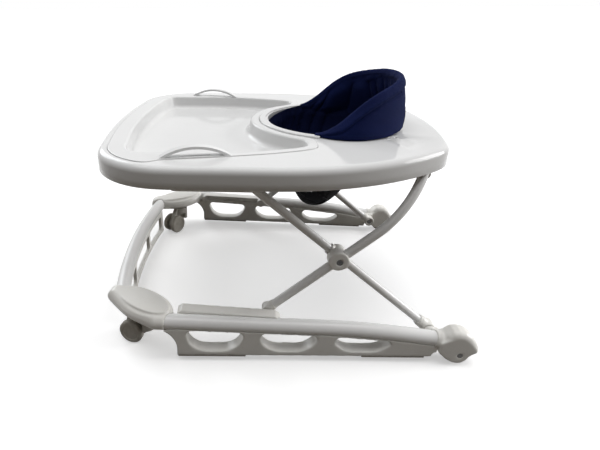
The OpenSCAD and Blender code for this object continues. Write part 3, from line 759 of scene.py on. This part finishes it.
def back_section(angle):
    """Outline of the padded back at an angle: up the outside, over the rolled rim, down inside."""
    h = back_value(RIM_HEIGHT, angle)
    foot, rim = back_value(FOOT_RADIUS, angle), back_value(RIM_RADIUS, angle)
    hem = min(HEM_TALL, 0.6 * h)
    low = h - hem
    small = smooth(h / 0.045)
    thick = 0.006 + 0.007 * small

    def outside(z, bulge=0.002):
        return foot + (rim - foot) * z / h + bulge * math.sin(math.pi * z / h)

    out = [(outside(0) - 0.002, BACK_GAP), (outside(0.3 * low), 0.3 * low),
           (outside(0.65 * low), 0.65 * low), (outside(low) - 0.001, low)]
    over = [(outside(low) + 0.0006, low + 0.3 * hem), (rim + 0.0004, h - 0.3 * hem),
            (rim - 0.12 * thick, h - 0.10 * hem), (rim - 0.5 * thick, h),
            (rim - 0.88 * thick, h - 0.12 * hem), (rim - thick, h - 0.4 * hem)]
    inside = [(max(rim - thick, 0.1215), low - 0.001), (0.1385, 0.5 * low), (0.1425, BACK_GAP)]
    return [(r, max(z, BACK_GAP)) for r, z in out + over + inside]


def padded_back():
    """The back's stuffed band, blown up by a short cloth simulation."""
    bm = bmesh.new()
    steps = 90
    rows = []
    for i in range(steps + 1):
        angle = math.radians(BACK_END) * (2 * i / steps - 1)
        rows.append([at_seat(angle, r, DECK_TOP + z) for r, z in back_section(angle)])
    made = grid_loops(bm, rows, close_columns=True)
    bm.faces.new(made[0])
    bm.faces.new(reversed(made[-1]))
    bmesh.ops.recalc_face_normals(bm, faces=bm.faces)
    piece = new_piece("backrest_pad", bm, "fabric")
    modify(piece, "REMESH", mode="VOXEL", voxel_size=0.0034)
    apply_all(piece)
    inflate(piece, 4.0, 0.003, lambda p: p.z < DECK_TOP + 0.004)
    modify(piece, "SUBSURF", levels=1, render_levels=1)
    apply_all(piece)
    crease_back(piece)
    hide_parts("backrest")


def inflate(piece, pressure, cap, pinned):
    """A short run of cloth with inner pressure; no point moves further than cap."""
    rest = [v.co.copy() for v in piece.data.vertices]
    held = piece.vertex_groups.new(name="held")
    held.add([i for i, p in enumerate(rest) if pinned(p)], 1.0, "REPLACE")
    cloth = modify(piece, "CLOTH")
    cloth.settings.use_pressure = True
    cloth.settings.uniform_pressure_force = pressure
    cloth.settings.effector_weights.gravity = 0
    cloth.settings.quality = 5
    cloth.settings.tension_stiffness = 18
    cloth.settings.bending_stiffness = 0.6
    cloth.settings.vertex_group_mass = "held"
    cloth.collision_settings.use_self_collision = False
    scene = bpy.context.scene
    for number in range(1, CLOTH_FRAMES + 1):
        scene.frame_set(number)
    evaluated = piece.evaluated_get(bpy.context.evaluated_depsgraph_get())
    blown = [v.co.copy() for v in evaluated.data.vertices]
    piece.modifiers.clear()
    for vertex, start, end in zip(piece.data.vertices, rest, blown):
        step = end - start
        vertex.co = start + step * min(1.0, cap / max(step.length, 1e-9))
    scene.frame_set(1)


def crease_back(piece):
    """Stitched seam under the rolled rim, with small gathers along it."""
    for vertex in piece.data.vertices:
        p = vertex.co
        away = Vector((p.x - SEAT_X, p.y, 0))
        angle = math.atan2(p.y, p.x - SEAT_X)
        h = back_value(RIM_HEIGHT, angle)
        hem = min(HEM_TALL, 0.6 * h)
        z = p.z - DECK_TOP
        middle = back_value(RIM_RADIUS, angle) - 0.006 + (h - z) / h * 0.012
        out = away.normalized()
        if away.length > middle and hem > 0.006:
            gap = abs(z - (h - hem))
            seam = max(0.0, 1 - gap / 0.0035)
            gather = max(0.0, 1 - gap / 0.014) * (0.5 + 0.5 * noise.noise(Vector((angle * 9, 3, 0))))
            vertex.co -= out * (0.0024 * seam + 0.0005 * gather * math.sin(angle * 70))
        vertex.co += out * 0.0010 * noise.noise(Vector((angle * 2.6, z * 18, 7.1))) * smooth(z / 0.02)


FOLDS = sorted(random.uniform(-math.pi, math.pi) for _ in range(40))


def fold(angle, deep):
    """Depth of the folds that hang round the seat: rounded ridges between sharp valleys."""
    angle = (angle + math.pi) % (2 * math.pi) - math.pi
    after = next((f for f in FOLDS if f > angle), FOLDS[0] + 2 * math.pi)
    before = max((f for f in FOLDS if f <= angle), default=FOLDS[-1] - 2 * math.pi)
    wide = after - before
    u = (angle - before) / wide
    ridge = math.sqrt(max(0.0, 1 - (2 * u - 1) ** 2))
    return deep * (1 - 1.6 * ridge) * min(1.0, wide / 0.22)


# height of the bag's sewn edge above the deck, in mm, by degrees from straight back
BAG_EDGE = ((0, 1.5), (93, 1.5), (107, 6.5), (122, 4), (140, -1), (160, -6), (180, -8))
# radius of the bag by height above its lowest point, both in mm
BAG_RADIUS = ((0, 0), (4, 22), (32, 48), (60, 64), (89, 91.7), (130, 118.6), (170, 133.6), (193, 135.9))


def bag_radius(z):
    """Radius of the hanging seat at a height."""
    return along(BAG_RADIUS, (z - BAG_FLOOR) / MM) * MM


# middle of each leg opening from the seat's axis at the deck's top, and the way its axis points
LEG_FORWARD, LEG_OUT, LEG_DROP = 0.058, 0.044, 0.1282
LEG_TURN, LEG_TILT = math.radians(25), math.radians(60)
LEG_RADIUS = 0.026
LEG_REACH = 0.055
LEG_MIDDLES = {hand: Vector((SEAT_X - LEG_FORWARD, side * LEG_OUT, DECK_TOP - LEG_DROP))
               for hand, side in HANDS.items()}
LEG_AXES = {hand: Matrix.Rotation(-side * LEG_TURN, 3, "Z") @ Matrix.Rotation(-LEG_TILT, 3, "Y")
            @ Vector((0, 0, 1)) for hand, side in HANDS.items()}


def leg_offset(p, hand):
    """(distance along, offset from) the axis of a leg opening."""
    step = p - LEG_MIDDLES[hand]
    forward = step.dot(LEG_AXES[hand])
    return forward, step - forward * LEG_AXES[hand]


def in_leg_hole(p):
    """Whether a point of the bag lies in a leg opening."""
    offsets = [leg_offset(p, hand) for hand in HANDS]
    return any(abs(forward) < LEG_REACH and off.length < LEG_RADIUS for forward, off in offsets)


def seat_cloth(name, rows, material, replaced, closed=True):
    """A hanging sheet of cloth with the two leg openings cut from it."""
    bm = bmesh.new()
    grid_loops(bm, rows, close_columns=closed)
    cut = [f for f in bm.faces if in_leg_hole(f.calc_center_median())]
    bmesh.ops.delete(bm, geom=cut, context="FACES")
    for vertex in [v for v in bm.verts if v.is_boundary]:
        for hand in HANDS:
            forward, off = leg_offset(vertex.co, hand)
            if abs(forward) < 0.06 and abs(off.length - LEG_RADIUS) < 0.006:
                vertex.co += off.normalized() * (LEG_RADIUS + 0.0005 - off.length)
    bmesh.ops.recalc_face_normals(bm, faces=bm.faces)
    piece = new_piece(name, bm, material)
    modify(piece, "SOLIDIFY", thickness=CLOTH_THICK, offset=-1)
    modify(piece, "SUBSURF", levels=1, render_levels=1)
    apply_all(piece)
    if replaced:
        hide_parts(replaced)
    return piece


def crumple(piece):
    """Gives the hanging seat's piece its own copy of its mesh; nothing bunches it as the walker folds
    flat.
    """
    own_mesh(piece)


def back_lining():
    """The back's inner panel: gathered under the rolled rim and sewn to the bag at the deck."""
    rows = []
    columns, steps = 170, 30
    for i in range(steps + 1):
        t = i / steps
        row = []
        for k in range(columns + 1):
            angle = math.radians(BACK_END) * (2 * k / columns - 1)
            h = back_value(RIM_HEIGHT, angle)
            rim = back_value(RIM_RADIUS, angle) - 0.0125
            top = h - min(0.009, 0.4 * h)
            z = top + (-0.012 - top) * t
            radius = rim + (0.1335 - rim) * t ** 0.8
            deep = 0.0075 * smooth(t * 2.5) * smooth(h / 0.05) * (1 - 0.5 * smooth((t - 0.75) * 4))
            radius += fold(angle + 0.25 * t * math.sin(3 * angle), deep) - 0.4 * deep
            radius -= 0.003 * max(0.0, noise.noise(Vector((angle * 2.1, z * 14, 2.5)))) * smooth(t * 3)
            row.append(at_seat(angle, radius, DECK_TOP + z))
        rows.append(row)
    seat_cloth("back_lining", rows, "fabric", None, closed=False)


def bag_point(angle, t):
    """t runs from the ring, 0, to the seam with the black sling, 1."""
    rim = DECK_TOP + along(BAG_EDGE, abs(math.degrees(angle))) * MM
    z = rim + (BAG_TOP - rim) * t
    hang = smooth(t * 5)
    slant = 2.2 * (DECK_TOP - z) * math.sin(angle * 2 + 0.6)
    radius = bag_radius(min(z, DECK_TOP)) - 0.0006
    radius += (fold(angle + slant, 0.006) - 0.006) * hang * (1 - 0.4 * t)
    radius -= 0.005 * max(0.0, noise.noise(Vector((angle * 2.4, z * 16, 2.5)))) * hang
    return at_seat(angle, radius, z)


def seat_lining():
    """The blue cloth of the bag, from the ring down to the sling."""
    steps = 36
    rows = [[bag_point(angle, i / steps) for angle in all_round(240)] for i in range(steps + 1)]
    crumple(seat_cloth("seat_lining", rows, "lining", "seat_fabric"))


def sling_point(angle, t):
    """t runs from the seam, 0, to the lowest point, 1."""
    z = BAG_FLOOR + (BAG_TOP - BAG_FLOOR) * (1 - t) ** 1.4
    radius = bag_radius(z) + fold(angle, 0.0015) * (1 - t) * smooth(t * 6)
    return at_seat(angle, max(radius, 0.0004), z + 0.0014)


def seat_sling():
    """The black cloth under the child."""
    steps = 30
    rows = [[sling_point(angle, i / steps) for angle in all_round(120)] for i in range(steps + 1)]
    crumple(seat_cloth("seat_sling_cloth", rows, "sling_fabric", "seat_sling"))


def tube_along(bm, path, radius, sides=10):
    """A closed tube round a closed path."""
    rows = []
    count = len(path)
    for i, p in enumerate(path):
        ahead = (path[(i + 1) % count] - path[i - 1]).normalized()
        across = ahead.cross(Vector((0, 0, 1))).normalized()
        up = across.cross(ahead)
        turns = [2 * math.pi * k / sides for k in range(sides)]
        rows.append([p + (across * math.cos(a) + up * math.sin(a)) * radius for a in turns])
    grid_loops(bm, rows, close_rows=True, close_columns=True)


def leg_binding(hand):
    """Tape that binds the edge of a leg opening."""
    axis = LEG_AXES[hand]
    across = axis.cross(Vector((0, 0, 1))).normalized()
    up = across.cross(axis)
    path = []
    for k in range(LEG_STEPS):
        turn = 2 * math.pi * k / LEG_STEPS
        start = LEG_MIDDLES[hand] + (across * math.cos(turn) + up * math.sin(turn)) * LEG_RADIUS
        low, high = -0.06, 0.06
        for _ in range(24):
            middle = (low + high) / 2
            p = start + axis * middle
            out = (p - at_seat(0, 0, p.z)).length - bag_radius(p.z)
            low, high = (middle, high) if out < 0 else (low, middle)
        path.append(start + axis * low)
    bm = bmesh.new()
    tube_along(bm, path, TAPE_RADIUS)
    crumple(new_piece("leg_binding_" + hand, bm, "binding"))


padded_back()
back_lining()
seat_lining()
seat_sling()
for hand in HANDS:
    leg_binding(hand)
